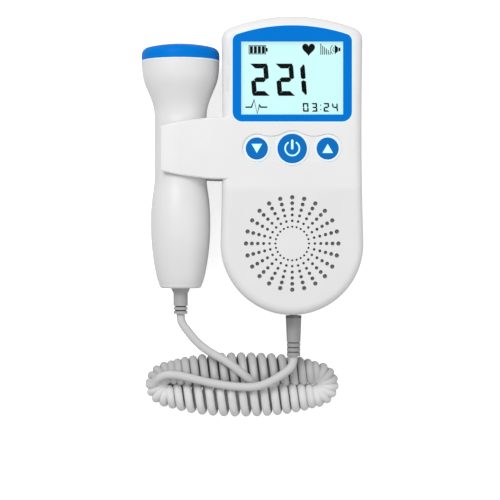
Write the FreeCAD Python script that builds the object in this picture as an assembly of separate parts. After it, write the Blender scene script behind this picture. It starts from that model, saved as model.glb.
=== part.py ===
import FreeCAD, Part
import math
import os

from FreeCAD import Vector

# Handheld fetal doppler: a flat case with a screen, three buttons and a speaker, a probe held in a clip
# on the case's side, and a curly cord from the probe to a plug in the case's lower end.
#
# Millimetres. The monitor lies on its back: +Z out of its front, +Y towards the top of the case, +X from
# the probe to the case. The origin is the middle of the footprint of case and probe, on the surface below.

# ---- Case ----
case_height = 136.4
case_slimmer = 3.0
case_belly_r = 32.65
case_waist_half = 31.75
case_waist_up = 53.0
case_top_r = 79.9
case_corner_r = 6.0
case_front_round = 4.0
inner_round_least = 0.5
case_back_round = 3.2
case_wall = 2.2
front_wall = 2.2
back_wall = 2.2
seam_tongue_wide = 1.0
seam_tongue_depth = 1.5
seam_gap = 0.1
cut_over = 1.0

# ---- Screen ----
bezel_half = 27.1
bezel_bottom_down = 48.3
bezel_apex_down = 4.6
bezel_top_r = 80.0
bezel_top_corner = 3.3
bezel_bottom_corner = 4.4
bezel_thick = 1.0
bezel_proud = 0.1
window_wide = 46.3
window_tall = 33.2
window_down = 28.5
lens_thick = 0.8
lens_border = 1.6
ledge_border = 0.6
panel_border = 1.4
panel_thick = 2.6
backlight_thick = 2.4
screen_gap = 0.15

# ---- Buttons ----
buttons_down = 60.55
button_pitch = 16.1
power_r = 6.6
volume_r = 4.93
button_proud = 0.25
button_edge = 0.5
button_travel = 0.6
button_gap = 0.35
flange_wide = 1.2
flange_thick = 1.0
lift_gap = 0.3
recess_power_r = 8.27
recess_volume_r = 6.77
recess_blend_r = 12.3
recess_depth = 0.6
switch_wide = 6.0
switch_tall = 2.6
plunger_r = 1.7
plunger_gap = 0.08
switch_floor = 0.7

# ---- Speaker and grille ----
grille_spokes = 24
grille_rings = 6
grille_first_r = 7.65
grille_last_r = 21.0
grille_hole_first = 1.05
grille_hole_last = 2.1
grille_hole_sides = 8
cloth_thick = 0.3
speaker_r = 22.6
speaker_flange = 2.6
speaker_flange_thick = 1.2
speaker_depth = 11.0
speaker_metal_thick = 0.6
cone_throat_r = 5.0
cone_drop_depth = 5.5
cone_paper_thick = 0.5
cone_gap = 0.05
magnet_r = 11.0
magnet_tall = 4.5

# ---- Circuit board ----
board_half = 28.6
board_bottom_down = 75.2
board_top_down = 10.8
board_top_r = 800.0
board_thick = 1.6
board_corner = 2.0
board_screw_x = 25.8
board_screw_high_down = 53.6
board_screw_low_down = 71.4
chip_size = 7.0
chip_down = 7.4
chip_spread = 19.0
chip_scales = (1.4, 1.0, 0.8)
chip_thick = 1.0

# ---- Screws and their pillars ----
pillar_r = 2.1
boss_wall = 1.0
pilot_gap = 0.05
screw_r = 1.1
screw_hole_gap = 0.2
screw_head_r = 1.9
screw_head_tall = 1.4
screw_seat_z = 9.0
screw_bite = 6.0
upper_screw_x = 19.5
upper_screw_down = 8.1
lower_screw_r = 26.9
lower_screw_angle = 50.0
standoff_r = 2.2
board_screw_bite = 4.0

# ---- Battery bay and door ----
cell_r = 7.25
cell_long = 49.2
cell_nub_r = 2.7
cell_nub_tall = 1.2
cell_gap = 0.4
contact_room = 2.6
contact_thick = 0.4
contact_bow = 0.6
contact_end_gap = 0.1
bay_down = 50.7
bay_wall = 1.4
door_thick = 2.0
door_border = 1.5
door_gap = 0.3
bay_frame_tall = 4.0
hinge_pin_r = 0.7
hinge_pin_long = 1.4
hinge_pin_gap = 0.08
grip_slot_wide = 12.0
grip_slot_depth = 0.7
grip_slot_long = 2.0
grip_slot_count = 3

# ---- Clip for the probe ----
probe_gap = 0.65
clip_y = 7.8
clip_root_half = 13.5
clip_axis_half = 12.2
clip_tip_half = 10.15
clip_tip_out = 8.6
clip_root_in = 9.0
clip_tip_drop = 1.1
clip_edge = 0.7
clip_gap = 0.55

# ---- Probe ----
head_r = 18.0
table_gap = 0.3
probe_foot_y = -56.1
probe_long = 105.0
head_base_in = 0.05
flare_share = 0.588
flare_in = 1.5
throat_share = 0.304
throat_out = 1.5
neck_above_clip = 15.1
neck_below_clip = 11.9
neck_in = 6.0
belly_share = 0.533
belly_out = 1.72
shoulder_share = 0.81
shoulder_out = 1.0
tail_share = 0.177
tail_in = 0.1
foot_in = 2.2
foot_round = 1.5
foot_lean = 0.45
head_lean = 0.03
probe_wall = 1.8
foot_wall = 2.0
spigot_tall = 3.0
spigot_wall = 1.5
spigot_gap = 0.1
rib_thick = 1.5
cap_tall = 7.7
cap_side = 2.6
cap_corner = 3.4
cap_wall = 1.7
cap_inside_tall = 5.2
crystal_r = 3.6
crystal_thick = 0.8
crystal_ring_count = 6
crystal_border = 1.6
backing_gap = 1.3
backing_thick = 3.4
probe_board_gap = 2.45
probe_board_low = 14.0
probe_board_below_neck = 5.0
probe_board_thick = 1.6

# ---- Probe's strain relief ----
relief_reach = 11.9
relief_flare_r = 4.5
relief_flare_long = 2.5
relief_r = 3.3
relief_end_r = 3.2
relief_ring_long = 1.25
relief_groove = 0.6
relief_rings = 2
relief_flange_r = 5.2
relief_flange_thick = 1.8
relief_gap = 0.1
clamp_wide = 9.0
clamp_long = 5.0
clamp_tall = 3.0

# ---- Plug and socket ----
pin_r = 1.75
pin_chamfer = 0.6
pin_long = 13.0
pin_gap = 0.08
collar_r = 3.65
collar_long = 1.2
collar_stand_off = 0.6
plug_aside = 1.0
boot_top_r = 3.6
boot_low_r = 3.2
boot_end_r = 3.1
boot_plain_long = 11.2
boot_ring_long = 1.73
boot_groove = 0.42
boot_rings = 3
socket_nose_r = 4.0
socket_nose_gap = 0.15
socket_sink = 0.4
socket_wide = 9.6
socket_long = 12.0

# ---- Cord ----
cord_r = 1.925
coil_middle_x = -4.6
coil_below_case = 33.3
coil_half_long = 45.5
coil_half_wide = 15.25
coil_half_gap = 0.9
coil_squash = 0.5
coil_bend_share = 0.8
coil_section_shares = [0, 0.28, 0.54, 0.69]
arc_share = 0.45
probe_lead_first = 2.6
plug_lead_first = 3.6
# Corners of each lead's route: place across, share of the way from the lead's start down to the coil's
# middle line, and height.
probe_lead_corners = [
    (-31.9, 0.152, 18.2),
    (-29.3, 0.254, 18.0),
    (-26.2, 0.37, 17.6),
    (-22.4, 0.472, 17.3),
    (-17.5, 0.564, 17.0),
    (-12.2, 0.648, 16.8),
    (-7.1, 0.761, 16.2),
    (-2.9, 0.872, 14.6),
    (0.2, 0.961, 11.6),
    (2.4, 1.012, 8.6),
]
plug_lead_corners = [
    (17.0, 0.466, 16.8),
    (13.0, 0.675, 17.0),
    (7.9, 0.884, 17.1),
    (2.2, 1.036, 16.8),
    (-4.8, 1.043, 15.9),
    (-12.6, 0.986, 15.0),
    (-20.4, 0.892, 14.6),
    (-28.0, 0.747, 14.9),
    (-34.8, 0.639, 14.7),
    (-40.4, 0.625, 13.7),
    (-44.6, 0.798, 12.2),
    (-46.6, 1.04, 9.8),
]

# ---- Places worked out from the dimensions above ----
X_AXIS = Vector(1, 0, 0)
Y_AXIS = Vector(0, 1, 0)
Z_AXIS = Vector(0, 0, 1)

case_depth = 2 * head_r - case_slimmer
top_y = case_height / 2
bezel_bottom = top_y - bezel_bottom_down
bezel_apex = top_y - bezel_apex_down
window_y = top_y - window_down
button_y = top_y - buttons_down
board_bottom = top_y - board_bottom_down
board_top = top_y - board_top_down
board_screw_high = top_y - board_screw_high_down
board_screw_low = top_y - board_screw_low_down
upper_screw_y = top_y - upper_screw_down
bay_middle_y = top_y - bay_down
probe_spacing = case_belly_r + head_r + probe_gap
total_wide = head_r + probe_spacing + case_belly_r
probe_x = head_r - total_wide / 2
case_x = probe_x + probe_spacing
probe_z = head_r + table_gap
seam_z = probe_z
neck_r = head_r - neck_in
head_base_r = head_r - head_base_in
flare_r = head_r - flare_in
throat_r = neck_r + throat_out
belly_r = neck_r + belly_out
tail_r = neck_r - tail_in
foot_r = neck_r - foot_in
slot_r = neck_r + clip_gap
clip_up = clip_y - probe_foot_y
neck_low_up = clip_up - neck_below_clip
neck_top_up = clip_up + neck_above_clip
flare_up = neck_top_up + flare_share * (probe_long - neck_top_up)
throat_up = neck_top_up + throat_share * (probe_long - neck_top_up)
belly_up = belly_share * neck_low_up
shoulder_r = neck_r + shoulder_out
shoulder_up = shoulder_share * neck_low_up
tail_up = tail_share * neck_low_up
spigot_r = head_r - cap_wall - spigot_gap
spigot_inner_r = spigot_r - spigot_wall
backing_r = spigot_inner_r - backing_gap
crystal_pitch = backing_r - crystal_r - crystal_border
case_bottom = -top_y
plug_x = case_x + plug_aside
plug_z = case_depth / 2
coil_middle = Vector(coil_middle_x, case_bottom - coil_below_case, 0)
coil_half_tall = (coil_half_wide - coil_half_gap) / 2
belly_y = case_bottom + case_belly_r
top_centre_y = top_y - case_top_r
case_side_r = (case_waist_up**2 / (case_belly_r - case_waist_half) - case_belly_r - case_waist_half) / 2
ceiling_z = case_depth - front_wall
bezel_floor = case_depth + bezel_proud - bezel_thick
lens_floor = bezel_floor - lens_thick
panel_z = ceiling_z - screen_gap - panel_thick
board_face = panel_z - backlight_thick
board_z = board_face - board_thick
speaker_top = ceiling_z - cloth_thick
bay_half = 2 * cell_r + 1.5 * cell_gap
bay_long = cell_long + 2 * contact_room
bay_low = bay_middle_y - bay_long / 2
bay_high = bay_middle_y + bay_long / 2
cell_z = door_thick + cell_gap + cell_r
bay_ceiling = cell_z + cell_r + cell_gap
hinge_y = bay_high + door_border - door_thick / 2
hinge_z = door_thick / 2
boot_top = -collar_stand_off - collar_long
boot_end = boot_top - boot_plain_long - boot_rings * (boot_groove + boot_ring_long)
plunger_top = board_face + switch_tall + button_travel + 2 * plunger_gap
plunger_low = board_face + switch_floor + button_travel + lift_gap


# ---- Shapes used more than once ----
def block(x_low, x_high, y_low, y_high, z_low, z_high):
    corner = Vector(x_low, y_low, z_low)
    return Part.makeBox(x_high - x_low, y_high - y_low, z_high - z_low, corner)


def rod(radius, start, end):
    span = end - start
    return Part.makeCylinder(radius, span.Length, start, span)


def circles_meet(centre_a, radius_a, centre_b, radius_b, side):
    """Point at both distances from two centres; side +1 is left of the way from a to b, -1 is right."""
    apart = centre_b - centre_a
    along = (radius_a**2 - radius_b**2 + apart.Length**2) / (2 * apart.Length)
    across = math.sqrt(radius_a**2 - along**2)
    forward = Vector(apart).normalize()
    left = Vector(-forward.y, forward.x, 0)
    return centre_a + forward * along + left * (side * across)


def towards(start, target, distance):
    return start + (target - start).normalize() * distance


def arc_about(centre, start, end):
    """The shorter arc from start to end about a centre."""
    middle = towards(centre, (start + end) * 0.5, (start - centre).Length)
    return Part.Arc(start, middle, end).toShape()


def line(start, end):
    return Part.LineSegment(start, end).toShape()


def flipped(point):
    return Vector(-point.x, point.y, point.z)


def prism(edges, z_low, z_high, shift_x=0.0):
    """Edges of a closed flat outline, drawn at height zero, made a solid between two heights."""
    face = Part.Face(Part.Wire(edges))
    face.translate(Vector(shift_x, 0, z_low))
    return face.extrude(Vector(0, 0, z_high - z_low))


def rim_edges(solid, z):
    """Edges that lie wholly at one height."""
    found = []
    for edge in solid.Edges:
        box = edge.BoundBox
        if abs(box.ZMin - z) < 1e-4 and abs(box.ZMax - z) < 1e-4:
            found.append(edge)
    return found


def spun(edges, angle=360.0):
    """Closed outline in the plane y = 0, with x its radius and z its height, spun about Z."""
    return Part.Face(Part.Wire(edges)).revolve(Vector(0, 0, 0), Z_AXIS, angle)


def polygon_edges(points):
    return [line(a, b) for a, b in zip(points, points[1:] + points[:1])]


def turned_profile(pairs):
    """Solid of revolution about Z from (radius, height) corners."""
    return spun(polygon_edges([Vector(r, 0, z) for r, z in pairs]))


def moved(shape, place):
    copy = shape.copy()
    copy.translate(place)
    return copy


def export(node, shape):
    solids = shape.Solids
    if not solids:
        raise ValueError(node + " has no solid")
    result = solids[0] if len(solids) == 1 else Part.makeCompound(solids)
    if not result.isValid():
        raise ValueError(node + " is not valid")
    result.exportStep("parts/" + node + ".step")
    print(node, len(solids), "solid(s)", round(shape.Volume, 1), "mm3")


# ---- Case ----
def case_outline(inset):
    """Outline of the case about x = 0: domed top, faintly waisted sides and a half round lower end."""
    side = Vector(case_waist_half + case_side_r, belly_y + case_waist_up, 0)
    belly = Vector(0, belly_y, 0)
    top = Vector(0, top_centre_y, 0)
    corner = circles_meet(side, case_side_r + case_corner_r, top, case_top_r - case_corner_r, -1)
    top_end = towards(corner, corner + corner - top, case_corner_r - inset)
    corner_end = towards(corner, side, case_corner_r - inset)
    belly_end = towards(belly, side, case_belly_r - inset)
    apex = Vector(0, top_y - inset, 0)
    low = Vector(0, case_bottom + inset, 0)
    return [
        Part.Arc(flipped(top_end), apex, top_end).toShape(),
        arc_about(corner, top_end, corner_end),
        arc_about(side, corner_end, belly_end),
        Part.Arc(belly_end, low, flipped(belly_end)).toShape(),
        arc_about(flipped(side), flipped(belly_end), flipped(corner_end)),
        arc_about(flipped(corner), flipped(corner_end), flipped(top_end)),
    ]


def case_prism(inset, z_low, z_high):
    return prism(case_outline(inset), z_low, z_high, case_x)


def arched_outline(half, bottom, apex, top_r, top_corner, bottom_corner, inset):
    """Outline of a plate with a domed top edge and rounded corners, about x = 0."""
    top = Vector(0, apex - top_r, 0)
    side = half - inset
    base = bottom + inset
    corner_x = half - top_corner
    corner = Vector(corner_x, top.y + math.sqrt((top_r - top_corner) ** 2 - corner_x**2), 0)
    top_end = towards(corner, corner + corner - top, top_corner - inset)
    side_top = Vector(side, corner.y, 0)
    side_low = Vector(side, bottom + bottom_corner, 0)
    low_centre = Vector(half - bottom_corner, bottom + bottom_corner, 0)
    low_end = Vector(half - bottom_corner, base, 0)
    return [
        Part.Arc(flipped(top_end), Vector(0, apex - inset, 0), top_end).toShape(),
        arc_about(corner, top_end, side_top),
        line(side_top, side_low),
        arc_about(low_centre, side_low, low_end),
        line(low_end, flipped(low_end)),
        arc_about(flipped(low_centre), flipped(low_end), flipped(side_low)),
        line(flipped(side_low), flipped(side_top)),
        arc_about(flipped(corner), flipped(side_top), flipped(top_end)),
    ]


def bezel_prism(inset, z_low, z_high):
    edges = arched_outline(
        bezel_half, bezel_bottom, bezel_apex, bezel_top_r, bezel_top_corner, bezel_bottom_corner, inset
    )
    return prism(edges, z_low, z_high, case_x)


def window_block(border, z_low, z_high):
    """Block over the screen window, larger than it by a border on every side."""
    half = window_wide / 2 + border
    tall = window_tall / 2 + border
    return block(case_x - half, case_x + half, window_y - tall, window_y + tall, z_low, z_high)


def recess_outline():
    """Three joined circles round the buttons, blended by a hollow curve between each two."""
    power = Vector(0, button_y, 0)
    volume = Vector(button_pitch, button_y, 0)
    power_reach = recess_power_r + recess_blend_r
    volume_reach = recess_volume_r + recess_blend_r
    blend = circles_meet(power, power_reach, volume, volume_reach, 1)
    power_end = towards(power, blend, recess_power_r)
    volume_end = towards(volume, blend, recess_volume_r)

    def lower(point):
        return Vector(point.x, 2 * button_y - point.y, 0)

    tip = Vector(button_pitch + recess_volume_r, button_y, 0)
    right = [
        arc_about(blend, power_end, volume_end),
        Part.Arc(volume_end, tip, lower(volume_end)).toShape(),
        arc_about(lower(blend), lower(volume_end), lower(power_end)),
    ]
    left = [
        arc_about(flipped(lower(blend)), flipped(lower(power_end)), flipped(lower(volume_end))),
        Part.Arc(flipped(lower(volume_end)), flipped(tip), flipped(volume_end)).toShape(),
        arc_about(flipped(blend), flipped(volume_end), flipped(power_end)),
    ]
    below = arc_about(power, lower(power_end), flipped(lower(power_end)))
    above = arc_about(power, flipped(power_end), power_end)
    return right + [below] + left + [above]


def grille_holes():
    """Rings of small holes that grow outwards, each drawn as a short many-sided prism."""
    holes = []
    for ring in range(grille_rings):
        share = ring / (grille_rings - 1)
        distance = grille_first_r + share * (grille_last_r - grille_first_r)
        across = grille_hole_first + share * (grille_hole_last - grille_hole_first)
        for spoke in range(grille_spokes):
            turn = 2 * math.pi * spoke / grille_spokes
            centre = Vector(case_x + distance * math.sin(turn), belly_y + distance * math.cos(turn), 0)
            corners = []
            for k in range(grille_hole_sides):
                angle = 2 * math.pi * (k + 0.5) / grille_hole_sides - turn
                corners.append(centre + Vector(math.cos(angle), math.sin(angle), 0) * (across / 2))
            holes.append(prism(polygon_edges(corners), ceiling_z - cut_over, case_depth + cut_over))
    return Part.makeCompound(holes)


def clip_solid():
    """C-shaped clip, open away from the case, before it is split between the two halves of the case."""
    front = case_depth - probe_z
    tip = -clip_tip_out
    root = probe_spacing - case_waist_half + clip_root_in

    def at(x, z):
        return Vector(x, 0, z)

    tip_z = front - clip_tip_drop
    curl_r = (clip_tip_out**2 + clip_tip_drop**2) / (2 * clip_tip_drop)
    curl = front - curl_r
    half_way = math.sqrt(0.5) * slot_r
    edges = [
        line(at(root, front), at(0, front)),
        arc_about(at(0, curl), at(0, front), at(tip, tip_z)),
        line(at(tip, tip_z), at(tip, slot_r)),
        line(at(tip, slot_r), at(0, slot_r)),
        Part.Arc(at(0, slot_r), at(half_way, half_way), at(slot_r, 0)).toShape(),
        Part.Arc(at(slot_r, 0), at(half_way, -half_way), at(0, -slot_r)).toShape(),
        line(at(0, -slot_r), at(tip, -slot_r)),
        line(at(tip, -slot_r), at(tip, -tip_z)),
        arc_about(at(0, -curl), at(tip, -tip_z), at(0, -front)),
        line(at(0, -front), at(root, -front)),
        line(at(root, -front), at(root, front)),
    ]
    side = Part.Face(Part.Wire(edges)).extrude(Vector(0, 2 * (clip_root_half + cut_over), 0))
    side.translate(Vector(probe_x, clip_y - clip_root_half - cut_over, probe_z))
    plan = prism(clip_plan(root), probe_z - front, probe_z + front, probe_x)
    clip = side.common(plan)
    outer = []
    for edge in clip.Edges:
        middle = edge.CenterOfMass
        above = abs(middle.z - probe_z) > front - clip_tip_drop - 0.01
        at_root = middle.x > probe_x + root - 0.01
        along_y = edge.BoundBox.XLength < 0.01 and middle.x > probe_x - clip_tip_out + 0.01
        if above and not at_root and not along_y:
            outer.append(edge)
    return clip.makeFillet(clip_edge, outer)


def clip_plan(root):
    """Clip seen from the front, about the probe's axis: wide at its root, narrow at its tip."""
    tip = -clip_tip_out
    top = Part.Arc(
        Vector(tip, clip_y + clip_tip_half, 0),
        Vector(0, clip_y + clip_axis_half, 0),
        Vector(root, clip_y + clip_root_half, 0),
    )
    low = Part.Arc(
        Vector(root, clip_y - clip_root_half, 0),
        Vector(0, clip_y - clip_axis_half, 0),
        Vector(tip, clip_y - clip_tip_half, 0),
    )
    root_end = line(Vector(root, clip_y + clip_root_half, 0), Vector(root, clip_y - clip_root_half, 0))
    tip_end = line(Vector(tip, clip_y - clip_tip_half, 0), Vector(tip, clip_y + clip_tip_half, 0))
    return [top.toShape(), root_end, low.toShape(), tip_end]


def upper_half(shape):
    """What lies in front of the case's seam."""
    return shape.common(block(-total_wide, total_wide, -case_height, case_height, seam_z, 2 * case_depth))


def lower_half(shape):
    """What lies behind the case's seam."""
    return shape.common(block(-total_wide, total_wide, -case_height, case_height, -case_depth, seam_z))


def case_screw_places():
    turn = math.radians(lower_screw_angle)
    low_x = lower_screw_r * math.cos(turn)
    low_y = belly_y - lower_screw_r * math.sin(turn)
    places = []
    for side in (-1, 1):
        places.append(Vector(case_x + side * upper_screw_x, upper_screw_y, 0))
        places.append(Vector(case_x + side * low_x, low_y, 0))
    return places


def board_screw_places():
    places = []
    for side in (-1, 1):
        for y in (board_screw_low, board_screw_high):
            places.append(Vector(case_x + side * board_screw_x, y, 0))
    return places


def upright(radius, place, z_low, z_high):
    return rod(radius, Vector(place.x, place.y, z_low), Vector(place.x, place.y, z_high))


def button_list():
    """Name, place across the case and cap radius of each button."""
    return [
        ("volume_down", -button_pitch, volume_r),
        ("power", 0.0, power_r),
        ("volume_up", button_pitch, volume_r),
    ]


def socket_hole():
    radius = socket_nose_r + socket_nose_gap
    outside = Vector(plug_x, case_bottom - cut_over, plug_z)
    inside = Vector(plug_x, case_bottom + case_wall + cut_over, plug_z)
    return rod(radius, outside, inside)


def front_casing():
    hull = case_prism(0, seam_z, case_depth)
    hull = hull.makeFillet(case_front_round, rim_edges(hull, case_depth))
    hollow = case_prism(case_wall, seam_z - cut_over, ceiling_z)
    inner_round = max(case_front_round - case_wall, inner_round_least)
    hollow = hollow.makeFillet(inner_round, rim_edges(hollow, ceiling_z))
    shell = hull.fuse(upper_half(clip_solid())).cut(hollow)

    tongue_out = case_prism(case_wall - seam_tongue_wide, seam_z - seam_tongue_depth, seam_z)
    tongue = tongue_out.cut(case_prism(case_wall, seam_z - seam_tongue_depth, seam_z))
    added = [tongue]
    for place in case_screw_places():
        added.append(upright(pillar_r, place, seam_z, case_depth).common(hull))
    for place in board_screw_places():
        added.append(upright(standoff_r, place, board_face, ceiling_z + front_wall / 2))
    shell = shell.fuse(added).removeSplitter()

    cuts = [socket_hole(), bezel_prism(-screen_gap, bezel_floor, case_depth + cut_over)]
    cuts.append(window_block(lens_border + screen_gap, lens_floor, bezel_floor))
    cuts.append(window_block(ledge_border, ceiling_z - cut_over, lens_floor))
    cuts.append(prism(recess_outline(), case_depth - recess_depth, case_depth + cut_over, case_x))
    for name, x, radius in button_list():
        place = Vector(case_x + x, button_y, 0)
        cuts.append(upright(radius + button_gap, place, ceiling_z - cut_over, case_depth + cut_over))
    for place in case_screw_places():
        cuts.append(upright(screw_r + pilot_gap, place, seam_z - cut_over, seam_z + screw_bite + cut_over))
    for place in board_screw_places():
        top = board_face + board_screw_bite
        cuts.append(upright(screw_r + pilot_gap, place, board_face - cut_over, top))
    return shell.cut(cuts).cut(grille_holes())


def bay_block(border, z_low, z_high):
    """Block over the battery bay, larger than it by a border on every side."""
    half = bay_half + border
    return block(case_x - half, case_x + half, bay_low - border, bay_high + border, z_low, z_high)


def rear_casing():
    hull = case_prism(0, 0, seam_z)
    hull = hull.makeFillet(case_back_round, rim_edges(hull, 0))
    hollow = case_prism(case_wall, back_wall, seam_z + cut_over)
    inner_round = max(case_back_round - case_wall, inner_round_least)
    hollow = hollow.makeFillet(inner_round, rim_edges(hollow, back_wall))
    shell = hull.fuse(lower_half(clip_solid())).cut(hollow)

    opening = door_border + door_gap
    added = [bay_block(opening + bay_wall, 0, bay_frame_tall)]
    added.append(bay_block(bay_wall, 0, bay_ceiling + bay_wall))
    head_room = screw_head_r + screw_hole_gap
    for place in case_screw_places():
        added.append(upright(head_room + boss_wall, place, back_wall / 2, seam_z).common(hull))
    shell = shell.fuse(added).removeSplitter()

    groove_out = case_wall - seam_tongue_wide - seam_gap
    groove_low = seam_z - seam_tongue_depth - seam_gap
    groove = case_prism(groove_out, groove_low, seam_z + cut_over)
    groove = groove.cut(case_prism(case_wall, groove_low, seam_z + cut_over))
    cuts = [groove, socket_hole()]
    cuts.append(bay_block(opening, -cut_over, door_thick + door_gap))
    cuts.append(bay_block(0, -cut_over, bay_ceiling))
    for place in case_screw_places():
        cuts.append(upright(head_room, place, -cut_over, screw_seat_z))
        cuts.append(upright(screw_r + screw_hole_gap, place, screw_seat_z - cut_over, seam_z + cut_over))
    pin_reach = bay_half + door_border + hinge_pin_long + hinge_pin_gap
    cuts.append(rod(hinge_pin_r + hinge_pin_gap, hinge_at(-pin_reach), hinge_at(pin_reach)))
    return shell.cut(cuts)


def hinge_at(x):
    return Vector(case_x + x, hinge_y, hinge_z)


def battery_door():
    """Flat door with a round upper end, two hinge pins, and grip slots at its lower end."""
    half = bay_half + door_border
    low = bay_low - door_border
    plate = block(case_x - half, case_x + half, low, hinge_y, 0, door_thick)
    knuckle = rod(door_thick / 2, hinge_at(-half), hinge_at(half))
    pins = rod(hinge_pin_r, hinge_at(-half - hinge_pin_long), hinge_at(half + hinge_pin_long))
    door = plate.fuse([knuckle, pins]).removeSplitter()
    slots = []
    slot_half = grip_slot_wide / 2
    for k in range(grip_slot_count):
        y = low + 2 * (k + 1) * grip_slot_long
        left, right = case_x - slot_half, case_x + slot_half
        slots.append(block(left, right, y, y + grip_slot_long, -cut_over, grip_slot_depth))
    return door.cut(slots)


# ---- Screen and circuit board ----
def screen_bezel():
    plate = bezel_prism(0, bezel_floor, bezel_floor + bezel_thick)
    return plate.cut(window_block(0, bezel_floor - cut_over, case_depth + cut_over))


def screen_lens():
    return window_block(lens_border, lens_floor, bezel_floor)


def lcd_panel():
    return window_block(panel_border, panel_z, panel_z + panel_thick)


def lcd_backlight():
    return window_block(panel_border, board_face, panel_z)


def main_board():
    corners = (board_corner, board_corner)
    outline = arched_outline(board_half, board_bottom, board_top, board_top_r, *corners, 0)
    board = prism(outline, board_z, board_face, case_x)
    cuts = []
    for place in board_screw_places():
        cuts.append(upright(screw_r + screw_hole_gap, place, board_z - cut_over, board_face + cut_over))
    return board.cut(cuts)


def board_chips():
    """Packages on the back of the board, clear of the battery bay below."""
    low = board_z - chip_thick
    chips = []
    y = board_top - chip_down
    for k, scale in enumerate(chip_scales):
        x = case_x + (k - 1) * chip_spread
        half = chip_size * scale / 2
        chips.append(block(x - half, x + half, y - half, y + half, low, board_z))
    return Part.makeCompound(chips)


def screw(place, seat_z, reach):
    """Pan-headed screw with its head below the seat and its shank going up."""
    shank = upright(screw_r, place, seat_z, seat_z + reach)
    head = upright(screw_head_r, place, seat_z - screw_head_tall, seat_z)
    return head.fuse(shank).removeSplitter()


def case_screws():
    reach = seam_z - screw_seat_z + screw_bite
    return Part.makeCompound([screw(place, screw_seat_z, reach) for place in case_screw_places()])


def board_screws():
    reach = board_thick + board_screw_bite - pilot_gap
    return Part.makeCompound([screw(place, board_z, reach) for place in board_screw_places()])


# ---- Buttons ----
def button_cap(x, radius):
    """Round cap with a softened rim, a flange that holds it in and a stem that meets its switch."""
    place = Vector(case_x + x, button_y, 0)
    flange_top = ceiling_z - lift_gap
    flange_low = flange_top - flange_thick
    cap = upright(radius, place, flange_low, case_depth + button_proud)
    cap = cap.makeFillet(button_edge, rim_edges(cap, case_depth + button_proud))
    flange = upright(radius + flange_wide, place, flange_low, flange_top)
    stem = upright(plunger_r, place, plunger_top, flange_low)
    return cap.fuse([flange, stem]).removeSplitter()


def switch_plunger(x):
    return upright(plunger_r, Vector(case_x + x, button_y, 0), plunger_low, plunger_top)


def switch_bodies():
    bodies = []
    half = switch_wide / 2
    for name, x, radius in button_list():
        place = Vector(case_x + x, button_y, 0)
        corner = place + Vector(-half, -half, board_face)
        body = Part.makeBox(switch_wide, switch_wide, switch_tall, corner)
        hole = upright(plunger_r + plunger_gap, place, board_face + switch_floor, case_depth)
        bodies.append(body.cut(hole))
    return Part.makeCompound(bodies)


# ---- Speaker ----
def in_speaker(shape):
    return moved(shape, Vector(case_x, belly_y, speaker_top))


def speaker_cloth():
    return in_speaker(Part.makeCylinder(speaker_r - speaker_metal_thick, cloth_thick))


def speaker_frame():
    rim = speaker_r - speaker_flange
    floor = magnet_tall - speaker_depth
    return in_speaker(turned_profile([
        (speaker_r, 0),
        (speaker_r, -speaker_flange_thick),
        (rim + speaker_metal_thick, -speaker_flange_thick),
        (magnet_r + speaker_metal_thick, floor),
        (cone_throat_r, floor),
        (cone_throat_r, floor + speaker_metal_thick),
        (magnet_r, floor + speaker_metal_thick),
        (rim, -speaker_flange_thick / 2),
        (rim, 0),
    ]))


def speaker_cone():
    rim = speaker_r - speaker_flange - cone_gap
    edge = rim - speaker_flange / 2
    return in_speaker(turned_profile([
        (rim, 0),
        (rim, -cone_paper_thick),
        (edge, -cone_paper_thick),
        (cone_throat_r, -cone_drop_depth),
        (0, -cone_drop_depth),
        (0, cone_paper_thick - cone_drop_depth),
        (cone_throat_r, cone_paper_thick - cone_drop_depth),
        (edge, 0),
    ]))


def speaker_magnet():
    floor = magnet_tall - speaker_depth
    return in_speaker(turned_profile([
        (0, floor),
        (magnet_r, floor),
        (magnet_r, speaker_metal_thick * 2 - speaker_depth),
        (magnet_r - 2 * speaker_metal_thick, speaker_metal_thick * 2 - speaker_depth),
        (magnet_r - 2 * speaker_metal_thick, -speaker_depth),
        (0, -speaker_depth),
    ]))


# ---- Batteries ----
def battery_cell(side):
    """Cell along Y; side -1 has its button end at the top, +1 at the bottom."""
    body = cell_long - cell_nub_tall
    outline = [(0, 0), (cell_r, 0), (cell_r, body), (cell_nub_r, body)]
    outline += [(cell_nub_r, cell_long), (0, cell_long)]
    shape = turned_profile(outline)
    shape.translate(Vector(0, 0, -cell_long / 2))
    shape.rotate(Vector(0, 0, 0), X_AXIS, 90 * side)
    return moved(shape, Vector(case_x + side * (cell_r + cell_gap / 2), bay_middle_y, cell_z))


def battery_contacts():
    """Four sheet strips, each with a bowed tongue that presses on its cell's end."""
    reach = contact_room - contact_end_gap
    tall = cell_r
    bow = contact_bow
    strips = []
    for end in (-1, 1):
        for side in (-1, 1):
            wall = bay_middle_y + end * bay_long / 2

            def at(depth, z):
                return Vector(0, wall - end * depth, cell_z + z)

            edge = [at(0, -tall), at(contact_thick, -tall), at(contact_thick, -tall / 2), at(reach, 0)]
            edge += [at(contact_thick, tall / 2), at(contact_thick, tall), at(0, tall)]
            hollow = [at(contact_thick, bow - tall / 2), at(reach - bow, 0)]
            hollow.append(at(contact_thick, tall / 2 - bow))
            strip = Part.Face(Part.Wire(polygon_edges(edge))).extrude(Vector(cell_r, 0, 0))
            strip = strip.cut(Part.Face(Part.Wire(polygon_edges(hollow))).extrude(Vector(cell_r, 0, 0)))
            strips.append(moved(strip, Vector(case_x + side * (cell_r + cell_gap / 2) - cell_r / 2, 0, 0)))
    return Part.makeCompound(strips)


# ---- Probe, drawn about its own axis with its foot at height zero ----
def on_probe(shape):
    """Lays a shape drawn about Z along the probe's place, with its height along +Y."""
    laid = shape.copy()
    laid.rotate(Vector(0, 0, 0), X_AXIS, -90)
    laid.translate(Vector(probe_x, probe_foot_y, probe_z))
    return laid


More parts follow.
